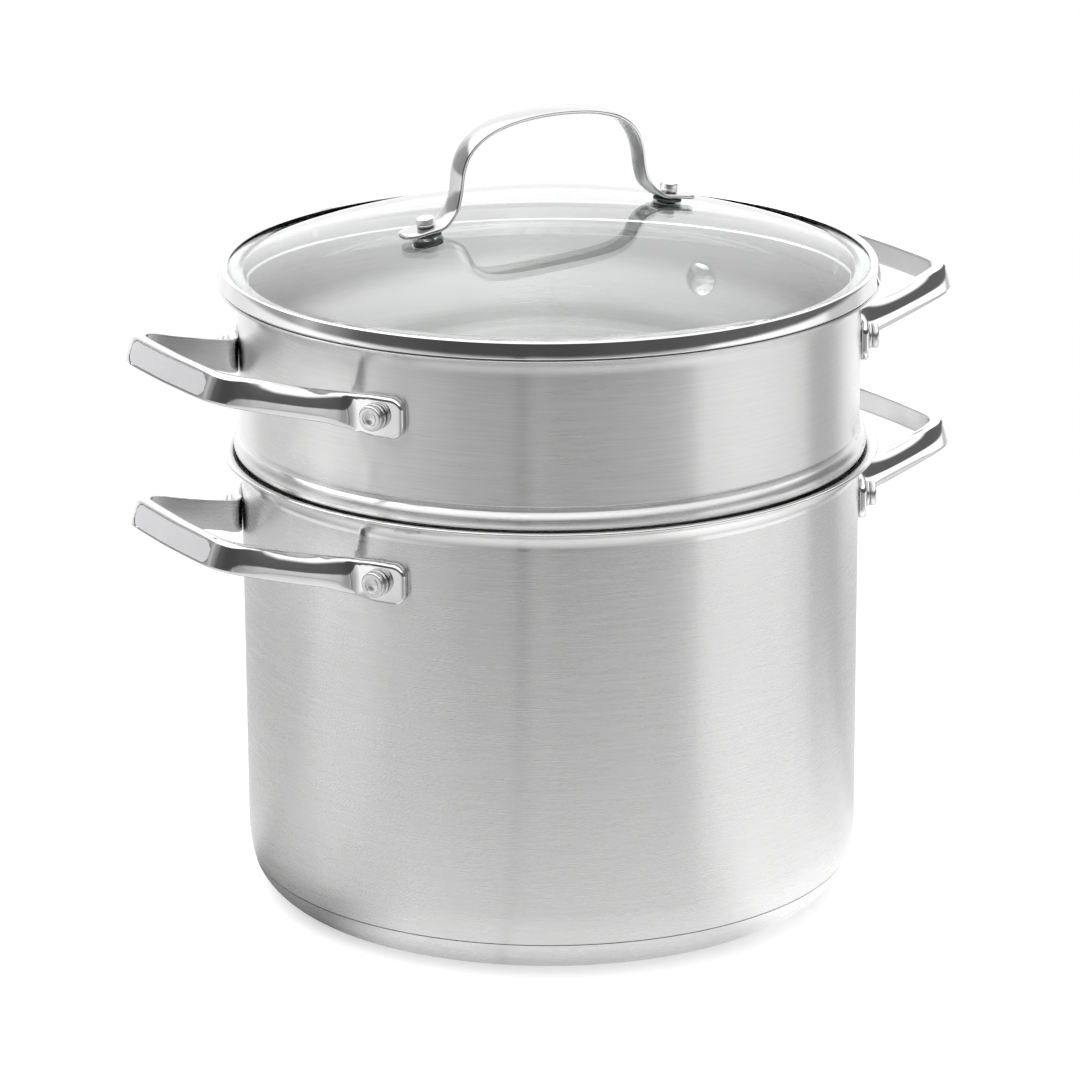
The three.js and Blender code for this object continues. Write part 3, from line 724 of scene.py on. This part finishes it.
def handle_bar(vessel, side):
    rows = handle_rows()
    tilt = radians(HANDLE_TILT)

    def lean(i):
        return Vector((-sin(tilt * rows[i][5]), 0, cos(tilt * rows[i][5])))

    def section(i, thickness, height):
        return loop_section(thickness, height, *rows[i][6:])

    rings, *path = bar(rows, lean, section, tip_corner=5.0, tip_edge=1.2)
    place = (Matrix.Translation((0, 0, RIVET_HEIGHTS[vessel]))
             @ Matrix.Rotation(radians(SIDES[side]), 4, "Z"))
    obj = make_object(f"{vessel}_loop_{side}", skin(rings), place)
    hole = rod(RIVET_HOLE, WALL_RADIUS - 5, WALL_RADIUS + 8)
    holes = [(hole, place @ outward(sign * RIVET_AZIMUTH, 0)) for sign in ENDS.values()]
    recess = panel_skin(rows, *path, margin=PANEL_GAP, top=RECESS_MOUTH, bottom=RECESS_FLOOR)
    cut(obj, holes + [(recess, place)])
    add_piece(obj, vessel, POLISHED, [f"{vessel}_handle_{side}"])
    plate = panel_skin(rows, *path, margin=0, top=PANEL_FACE, bottom=PANEL_BACK)
    panel = make_object(f"{vessel}_grip_panel_{side}", plate, place, sharp=28)
    add_piece(panel, vessel, PANEL, [])


def panel_skin(rows, middles, frames, lengths, margin, top, bottom):
    """An oval that follows the grip's outer face, from bottom to top along its outward direction."""
    centre = lengths[-1] / 2
    reach, half_height = PANEL_REACH + margin, PANEL_HALF_HEIGHT + margin
    across = (-1, -0.5, 0, 0.5, 1)
    rings = []
    for i, length in enumerate(lengths):
        inward = reach - abs(length - centre)
        if inward < 0.1:
            continue
        short = max(half_height - inward, 0)
        width = sqrt(half_height ** 2 - short ** 2)
        out, up = frames[i]
        face = middles[i] + out * rows[i][3] / 2 - up * PANEL_DROP
        rings.append([face + out * top + up * (width * f) for f in across]
                     + [face + out * bottom + up * (width * f) for f in reversed(across)])
    return skin(rings)


# ---------------- rivets and washers

CAD_WALL_SIDES = 48  # the CAD's wall has this many flats, whose middles stand further in
COLLAR_THICKNESS = 1.3
COLLAR_START = WALL_RADIUS + FLANGE_THICKNESS + 2 * SEAM_GAP


def domed_head(radius, rise, tip, steps):
    """Profile of a rivet's domed head, from its tip out to its edge."""
    sphere = (radius ** 2 + rise ** 2) / (2 * rise)
    span = degrees(asin(radius / sphere))
    angles = [radians(span * i / steps) for i in range(steps + 1)]
    return [(sphere * sin(a), tip + sphere - sphere * cos(a)) for a in angles]


def handle_rivet_profile():
    """From the domed head inside the wall to the dimpled tail outside the collar."""
    head_radius, head_rise, tail_radius = 6.6, 2, 4.9
    head_base = WALL_INSIDE * cos(pi / CAD_WALL_SIDES) - SEAM_GAP
    tail_base = WALL_RADIUS + FLANGE_THICKNESS + COLLAR_THICKNESS + 3 * SEAM_GAP
    tail_top = tail_base + 2.4
    return (domed_head(head_radius, head_rise, head_base - head_rise, 12)
            + [(head_radius, head_base), (RIVET_SHANK, head_base), (RIVET_SHANK, tail_base),
               (tail_radius - 0.3, tail_base)]
            + arc(tail_radius - 0.5, tail_base + 0.5, 0.5, -60, 0, 3)
            + arc(tail_radius - 0.9, tail_top - 0.9, 0.9, 0, 90, 6)
            + [(3.0, tail_top), (2.75, tail_top - 0.16), (2.5, tail_top - 0.02), (2.1, tail_top - 0.04),
               (1.5, tail_top - 0.25), (0.8, tail_top - 0.5), (0, tail_top - 0.58)])


def collar_profile():
    outer, start, end = 5.1, COLLAR_START, COLLAR_START + COLLAR_THICKNESS
    return ([(RIVET_HOLE, start), (outer - 0.3, start)] + arc(outer - 0.4, start + 0.4, 0.4, -70, 0, 4)
            + arc(outer - 0.5, end - 0.5, 0.5, 0, 90, 5) + [(RIVET_HOLE, end)])


def add_handle_rivets(vessel):
    for side, turn in SIDES.items():
        for end, sign in ENDS.items():
            label = f"{side}_{end}"
            azimuth = turn + sign * RIVET_AZIMUTH * (1 if side == "right" else -1)
            place = outward(azimuth, RIVET_HEIGHTS[vessel])
            rivet = make_object(f"{vessel}_set_rivet_{label}",
                                turned(handle_rivet_profile(), FINE_SEGMENTS), place)
            add_piece(rivet, vessel, RIVET, [f"{vessel}_rivet_{label}"])
            collar = make_object(f"{vessel}_collar_{label}",
                                 turned(collar_profile(), FINE_SEGMENTS, closed=True), place)
            add_piece(collar, vessel, FROSTED, [f"{vessel}_rivet_washer_{label}"])


# ---------------- lid

DOME_RISE = GLASS_HIGH.z - (GLASS_LOW.z + GLASS_THICKNESS)
DOME_SPHERE = (GLASS_DOME_RADIUS ** 2 + DOME_RISE ** 2) / (2 * DOME_RISE)
LID_SLOPE = asin(LID_RIVET_X / DOME_SPHERE)
GLASS_HOLE = 4.2
STRAP_THICKNESS = 2.2
# heights along the glass's normal, from its outer face
STRAP_UNDERSIDE = 1.6
SEAL_THICKNESS, PLATE_THICKNESS = 1.0, 0.8
SEAL_HIGH = -GLASS_THICKNESS - SEAM_GAP
SEAL_LOW = SEAL_HIGH - SEAL_THICKNESS
PLATE_HIGH = SEAL_LOW - SEAM_GAP
PLATE_LOW = PLATE_HIGH - PLATE_THICKNESS


def dome_height(radius):
    """Height of the glass's outer face at a distance from the axis."""
    return GLASS_HIGH.z - DOME_SPHERE + sqrt(DOME_SPHERE ** 2 - radius ** 2)


def lid_station(sign):
    """A place on the glass's outer face at a lid rivet, with Z along the glass's normal."""
    return (Matrix.Translation((sign * LID_RIVET_X, 0, dome_height(LID_RIVET_X)))
            @ Matrix.Rotation(sign * LID_SLOPE, 4, "Y"))


def lid_rim():
    """A skirt inside the tier, a deck on the tier's lip and a rolled edge round the glass."""
    inside, sheet, step = 116.4, 0.9, 0.7
    under, top, edge = TIER_HIGH.z + 0.4, RIM_HIGH.z, RIM_HIGH.x
    bottom, ledge = RIM_LOW.z, RIM_LOW.z + 6
    deck = under + sheet
    glass_top = GLASS_LOW.z + GLASS_THICKNESS + SEAM_GAP
    profile = (
        arc(inside + sheet / 2, bottom + sheet / 2, sheet / 2, 180, 360, 8)
        + [(inside + sheet, ledge), (inside + sheet + step, ledge + 0.6),
           (inside + sheet + step, under - 0.5)]
        + arc(inside + sheet + step + 0.5, under - 0.5, 0.5, 180, 90, 4)
        + arc(edge - 0.8, under + 0.8, 0.8, -90, 8, 7)
        + arc(edge - 2, top - 0.9, 0.9, 14, 90, 7)
        + [(edge - 2.7, top - 0.08), (edge - 3.4, top - 0.42), (edge - 4, top - 0.95),
           (edge - 3.9, glass_top), (edge - 1.6, glass_top), (edge - 1, deck)]
        + [(inside + step, deck), (inside + step, ledge + 1), (inside, ledge + 0.4)])
    obj = make_object("lid_channel", turned(profile, closed=True))
    return add_piece(obj, "lid", POLISHED, ["lid_rim"])


def lid_glass():
    radii = [GLASS_DOME_RADIUS * (1 - i / 40) for i in range(41)]
    outer = [(radius, dome_height(radius)) for radius in radii]
    inner = [(r, z - GLASS_THICKNESS) for r, z in reversed(outer)]
    edge, low, corner = GLASS_HIGH.x, GLASS_LOW.z, 0.8
    profile = (inner + [(edge - corner, low)] + arc(edge - corner, low + corner, corner, -90, 0, 4)
               + arc(edge - corner, low + GLASS_THICKNESS - corner, corner, 0, 90, 4) + outer)
    obj = make_object("lid_pane", turned(profile), sharp=50)
    hole = rod(GLASS_HOLE, -12, 12)
    cut(obj, [(hole, lid_station(sign)) for sign in (1, -1)], sharp=50)
    return add_piece(obj, "lid", GLASS, ["lid_glass"])


def strap_rows():
    """Rows of (x, y, z, thickness, width) along the strap, tip to tip."""
    foot_height = dome_height(LID_RIVET_X) + (STRAP_UNDERSIDE + STRAP_THICKNESS / 2) / cos(LID_SLOPE)

    def foot(x, width):
        return x, foot_height - (x - LID_RIVET_X) * tan(LID_SLOPE), width

    half = [  # x, z and width, from the top of the arch to the tip of a foot
        (0, 307.2, 12), (13, 306.5, 12), (24, 304.3, 11.6), (32, 300.6, 10.8), (37.2, 295.4, 9.8),
        (39.8, 289, 9.2), (41, 281, 9), (42.8, 275, 9.4), (46, 271.2, 10.6),
        foot(49.6, 12), foot(LID_RIVET_X, 12.6), foot(59, 12.6), foot(62.8, 12.6), foot(64.2, 12.6),
        foot(64.8, 12.6),
    ]
    mirrored = [(-x, z, width) for x, z, width in reversed(half[1:])]
    rows = [(x, 0, z, STRAP_THICKNESS, width) for x, z, width in smooth_between(mirrored + half, 8)]
    return even_rows(rows, 0.8)


def lid_strap():
    def section(i, thickness, height):
        crown = min(0.4, 0.15 * thickness)
        corner = min(0.6, thickness / 2 - crown, 0.45 * height)
        return flat_section(thickness, height, corner, crown)

    rings, *_ = bar(strap_rows(), lambda i: Vector((0, -1, 0)), section, tip_corner=5.2, tip_edge=0.6)
    obj = make_object("lid_strap", skin(rings))
    hole = rod(RIVET_HOLE, -6, 8)
    cut(obj, [(hole, lid_station(sign)) for sign in (1, -1)])
    return add_piece(obj, "lid", STRAP, ["lid_handle"])


def lid_rivet_profile():
    """From the domed head under the glass to the grooved stud above the strap."""
    stud_base = STRAP_UNDERSIDE + STRAP_THICKNESS + SEAM_GAP
    stud_top = stud_base + 3.2
    head_radius, head_rise, stud = 5.2, 1.6, 3.5
    head_base = PLATE_LOW - SEAM_GAP
    groove = stud - 0.12
    return (domed_head(head_radius, head_rise, head_base - head_rise, 10)
            + [(head_radius, head_base), (RIVET_SHANK, head_base), (RIVET_SHANK, stud_base),
               (stud, stud_base), (stud, stud_base + 0.6), (groove, stud_base + 0.75),
               (groove, stud_base + 0.9), (stud, stud_base + 1.05)]
            + arc(stud - 0.7, stud_top - 0.7, 0.7, 0, 90, 6)
            + [(1.6, stud_top), (1.4, stud_top - 0.15), (0, stud_top - 0.3)])


def ring_profile(inner, outer, low, high):
    """A flat ring's section with round corners."""
    corner = 0.25
    return (arc(inner + corner, low + corner, corner, 180, 270, 3)
            + arc(outer - corner, low + corner, corner, -90, 0, 3)
            + arc(outer - corner, high - corner, corner, 0, 90, 3)
            + arc(inner + corner, high - corner, corner, 90, 180, 3))


def add_lid():
    lid_rim()
    lid_glass()
    lid_strap()
    for side, sign in (("left", -1), ("right", 1)):
        place = lid_station(sign)
        rivet = make_object(f"lid_stud_{side}", turned(lid_rivet_profile(), FINE_SEGMENTS), place)
        add_piece(rivet, "lid", FROSTED, [f"lid_rivet_{side}"])
        rings = (
            ("upper_seal", 5.6, SEAM_GAP, SEAM_GAP + SEAL_THICKNESS, SILICONE, "upper_gasket", "silicone"),
            ("lower_seal", 6.0, SEAL_LOW, SEAL_HIGH, SILICONE, "lower_gasket", "silicone"),
            ("lower_plate", 6.5, PLATE_LOW, PLATE_HIGH, SATIN, "lower_washer", "satin_steel"),
        )
        for word, outer, low, high, material, node, slot in rings:
            shape = turned(ring_profile(RIVET_HOLE, outer, low, high), FINE_SEGMENTS, closed=True)
            piece = make_object(f"lid_{word}_{side}", shape, place)
            add_piece(piece, "lid", material, [f"lid_{node}_{side}"])


# ---------------- jar rack

WIRE_RADIUS = 2.1
WIRE_SIDES = 20
RING_HEIGHT = middle_height("rack_ring_outer")
LEG_COUNT = 6


def rack_ring(name):
    radius = box_mm(f"rack_ring_{name}")[1].x - WIRE_RADIUS
    section = arc(radius, RING_HEIGHT, WIRE_RADIUS, 0, 345, 23)
    obj = make_object(f"rack_hoop_{name}", turned(section, 144, closed=True))
    return add_piece(obj, "rack", WIRE, [f"rack_ring_{name}"])


def rack_leg(index):
    """A spoke under the rings, whose outer end turns down as a leg."""
    foot = box_mm("rack_leg_1")[0].z
    height = RING_HEIGHT - 2 * WIRE_RADIUS - SEAM_GAP
    inner = box_mm("rack_ring_inner")[1].x - WIRE_RADIUS - 3
    outer = box_mm("rack_ring_outer")[1].x - WIRE_RADIUS + 2
    bend = 5.0
    path = [(inner, height), (inner + 0.2, height)] + arc(outer - bend, height - bend, bend, 90, 0, 10)
    path += [(outer, foot + 0.4), (outer, foot)]
    angles = [2 * pi * k / WIRE_SIDES for k in range(WIRE_SIDES)]
    side = Vector((0, 1, 0))
    rings = []
    for i, (x, z) in enumerate(path):
        x0, z0 = path[max(i - 1, 0)]
        x1, z1 = path[min(i + 1, len(path) - 1)]
        other = Vector((x1 - x0, 0, z1 - z0)).normalized().cross(side)
        radius = WIRE_RADIUS - (0.3 if i in (0, len(path) - 1) else 0)  # rounded at both ends
        rings.append([Vector((x, 0, z)) + (side * cos(a) + other * sin(a)) * radius for a in angles])
    turn = Matrix.Rotation((index - 0.5) * 2 * pi / LEG_COUNT, 4, "Z")
    obj = make_object(f"rack_spoke_{index}", skin(rings), turn)
    return add_piece(obj, "rack", WIRE, [f"rack_leg_{index}"])


# ---------------- studio

CAMERA_AZIMUTH = radians(31.0)  # the object's front is turned this far to the right
CAMERA_DISTANCE = 1.88474  # from the object's axis, level
CAMERA_HEIGHT = 0.71863
CAMERA_HEADING = radians(30.877)
CAMERA_PITCH = radians(17.175)
CAMERA_ROLL = radians(-0.3075)
CAMERA_LENS = 168.1


def add_camera():
    data = bpy.data.cameras.new("camera")
    data.lens = CAMERA_LENS
    data.sensor_width = 36
    data.clip_end = 30
    camera = bpy.data.objects.new("camera", data)
    bpy.context.scene.collection.objects.link(camera)
    place = Matrix.Translation((-CAMERA_DISTANCE * sin(CAMERA_AZIMUTH),
                                -CAMERA_DISTANCE * cos(CAMERA_AZIMUTH), CAMERA_HEIGHT))
    camera.matrix_world = (place @ Matrix.Rotation(-CAMERA_HEADING, 4, "Z")
                           @ Matrix.Rotation(pi / 2 - CAMERA_PITCH, 4, "X")
                           @ Matrix.Rotation(CAMERA_ROLL, 4, "Z"))
    bpy.context.scene.camera = camera


def ramp(tree, source, stops, spread=1.0):
    """A grey ramp: stops of (position, brightness), with positions from 0 to spread."""
    node = tree.nodes.new("ShaderNodeValToRGB")
    node.color_ramp.interpolation = "EASE"
    points = node.color_ramp.elements
    while len(points) < len(stops):
        points.new(0.5)
    for element, (position, value) in zip(points, stops):
        element.position = position / spread
        element.color = (value, value, value, 1)
    tree.links.new(source, node.inputs["Fac"])
    return node.outputs["Color"]


def blend(tree, factor, first, second, kind="MIX"):
    """Colours mixed by a factor; a plain number gives a grey or a fixed factor."""
    node = tree.nodes.new("ShaderNodeMix")
    node.data_type = "RGBA"
    node.blend_type = kind
    for name, value in (("Factor", factor), ("A", first), ("B", second)):
        if not isinstance(value, (int, float)):
            tree.links.new(value, node.inputs[name])
        else:
            node.inputs[name].default_value = value if name == "Factor" else (value, value, value, 1)
    return node.outputs["Result"]


def times(tree, first, second):
    return blend(tree, 1.0, first, second, "MULTIPLY")


def room_axes(tree, output):
    """A direction or place in the room's axes, with Y pointing away from where the camera stands."""
    place = tree.nodes.new("ShaderNodeTexCoord")
    turn = tree.nodes.new("ShaderNodeMapping")
    turn.inputs["Rotation"].default_value = (0, 0, CAMERA_AZIMUTH)
    tree.links.new(place.outputs[output], turn.inputs["Vector"])
    axes = tree.nodes.new("ShaderNodeSeparateXYZ")
    tree.links.new(turn.outputs["Vector"], axes.inputs["Vector"])
    return turn.outputs["Vector"], axes.outputs


def round_room(tree, axes):
    """0 to 1 round the room: 0 behind the object, then left, 0.5 at the camera, then right."""
    angle = tree.nodes.new("ShaderNodeMath")
    angle.operation = "ARCTAN2"
    tree.links.new(axes["X"], angle.inputs[0])
    tree.links.new(axes["Y"], angle.inputs[1])
    turn = tree.nodes.new("ShaderNodeMapRange")
    for name, value in (("From Min", -pi), ("From Max", pi), ("To Min", 1.5), ("To Max", 0.5)):
        turn.inputs[name].default_value = value
    tree.links.new(angle.outputs["Value"], turn.inputs["Value"])
    wrap = tree.nodes.new("ShaderNodeMath")
    wrap.operation = "FRACT"
    tree.links.new(turn.outputs["Result"], wrap.inputs[0])
    return wrap.outputs["Value"]


# Brightness of the room by degrees round the object: 0 is behind it, 90 on its left, 180 where
# the camera stands and 270 on its right. LOW_ROOM is below the horizon, MIDDLE_ROOM above it and
# HIGH_ROOM overhead. TABLE is painted light and shade on the table as reflections see it, and SHADE
# is painted shade that darkens it by the vessel's foot.
LOW_ROOM = [
    (0, 1.0), (8, 1.0), (16, 1.1), (32, 1.1), (49, 0.98), (72, 1.1), (90, 1.3), (110, 1.2),
    (122, 0.88), (139, 0.68), (149, 0.52), (160, 0.45), (167, 0.43), (169, 0.2), (171, 0.2),
    (173, 0.44), (176, 0.5), (184, 0.38), (200, 0.42), (214, 0.54), (225, 0.64), (232, 0.76),
    (238, 1.35), (255, 1.5), (272, 1.4), (286, 1.2), (292, 0.7), (308, 0.75), (318, 1.1), (344, 1.2),
    (352, 1.0), (360, 1.0)]
MIDDLE_ROOM = [
    (0, 1.3), (28, 1.3), (42, 0.9), (55, 0.5), (80, 0.4), (90, 0.6), (98, 0.35), (115, 0.12),
    (150, 0.08), (180, 0.08), (215, 0.1), (250, 0.14), (285, 0.16), (314, 0.2), (326, 1.1),
    (345, 1.3), (360, 1.3)]
HIGH_ROOM = [
    (0, 2.5), (20, 2.8), (40, 3.4), (80, 3.4), (110, 2.0), (150, 1.7), (210, 1.7), (236, 1.6),
    (300, 1.6), (330, 2.0), (360, 2.4)]
TABLE = [
    (0, 0.6), (7, 0.8), (15, 1.0), (40, 0.8), (84, 0.8), (100, 0.98), (119, 1.05), (160, 1.02),
    (168, 1.02), (169.5, 0.93), (170.5, 0.93), (172, 1.02), (215, 1.12), (236, 1.55), (260, 1.5),
    (285, 1.25), (300, 0.95), (318, 0.95), (345, 1.1), (353, 0.8), (360, 0.6)]
SHADE = [(0, 1), (74, 1), (92, 0.3), (124, 0.3), (150, 1), (360, 1)]
# Changes by height, from 0 at the horizon to 1 overhead: where one band of the room gives way to
# the next, and the lamps' rings overhead. The first starts HORIZON_LIFT below the horizon.
HORIZON_LIFT = 0.1
MIDDLE_STARTS = [(0, 0), (0.06, 0), (0.13, 1), (1, 1)]
HIGH_STARTS = [(0, 0), (0.48, 0), (0.62, 1), (1, 1)]
LAMPS = [(0, 1), (0.69, 1), (0.732, 0.62), (0.757, 0.62), (0.767, 1.1), (0.786, 1.1), (0.794, 0.85), (1, 0.9)]
# Changes over the table, by metres from its middle: its painted brightness, a pool of painted light that
# fades outward, and how far SHADE's painted shade reaches.
TABLE_FADE = [(0, 1.12), (0.13, 1.08), (0.2, 0.88), (0.35, 0.66), (0.5, 0.42), (1, 0.38)]
SHADE_FADE = [(0, 1), (0.135, 1), (0.2, 0), (1, 0)]


def add_room():
    world = bpy.data.worlds.new("room")
    bpy.context.scene.world = world
    world.use_nodes = True
    tree = world.node_tree
    _, axes = room_axes(tree, "Generated")
    around = round_room(tree, axes)
    low, middle, high = (ramp(tree, around, stops, 360) for stops in (LOW_ROOM, MIDDLE_ROOM, HIGH_ROOM))
    up = axes["Z"]
    lifted = tree.nodes.new("ShaderNodeMath")
    lifted.inputs[1].default_value = HORIZON_LIFT
    tree.links.new(up, lifted.inputs[0])
    lower = blend(tree, ramp(tree, lifted.outputs["Value"], MIDDLE_STARTS), low, middle)
    room = blend(tree, ramp(tree, up, HIGH_STARTS), lower, high)
    room = times(tree, room, ramp(tree, up, LAMPS))
    # the backdrop itself is plain white where the camera looks straight at it
    seen = tree.nodes.new("ShaderNodeLightPath")
    tree.links.new(blend(tree, seen.outputs["Is Camera Ray"], room, 1.0),
                   tree.nodes["Background"].inputs["Color"])


def add_floor():
    """A round pale table that fades into the backdrop, and is greyer in reflections, where it carries painted
    light and shade round the room, fading outward, and painted shade by the vessel's foot.
    """
    height, rings = -0.5, (0, 60, 150, 300, 560)
    obj = make_object("floor", turned([(radius, height) for radius in rings], 128))
    m = Nodes("floor")
    place, axes = room_axes(m.tree, "Object")
    distance = m.add("ShaderNodeVectorMath", operation="LENGTH")
    m.link(place, distance.inputs[0])
    away = distance.outputs["Value"]
    around = round_room(m.tree, axes)
    # painted light and shade on the table, seen only in reflections
    reflected = times(m.tree, ramp(m.tree, around, TABLE, 360), ramp(m.tree, away, TABLE_FADE))
    foot_shade = blend(m.tree, ramp(m.tree, away, SHADE_FADE), 1.0, ramp(m.tree, around, SHADE, 360))
    reflected = times(m.tree, reflected, foot_shade)
    seen = m.add("ShaderNodeLightPath").outputs["Is Camera Ray"]
    # each row: the input, its share of the reflected look, and its value as the camera sees it
    for name, share, plain in (("Base Color", 0.5, 0.62), ("Emission Color", 0.7, 1.0)):
        m.link(blend(m.tree, seen, times(m.tree, reflected, share), plain), m.shader.inputs[name])
    m.set(Roughness=0.9, Specular_IOR_Level=0.0, Emission_Strength=0.55)
    obj.data.materials.append(m.material)


# ---------------- everything

pot_shell()
base_shell()
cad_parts["pot_base_core"].data.materials.clear()
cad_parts["pot_base_core"].data.materials.append(ALUMINIUM)
tier_shell()
for vessel_name in ("pot", "tier"):
    for side_name in SIDES:
        handle_bar(vessel_name, side_name)
    add_handle_rivets(vessel_name)
add_lid()
for ring_name in ("outer", "middle", "inner"):
    rack_ring(ring_name)
for leg_index in range(1, LEG_COUNT + 1):
    rack_leg(leg_index)

add_camera()
add_room()
add_floor()
bpy.context.scene.view_settings.view_transform = "Standard"
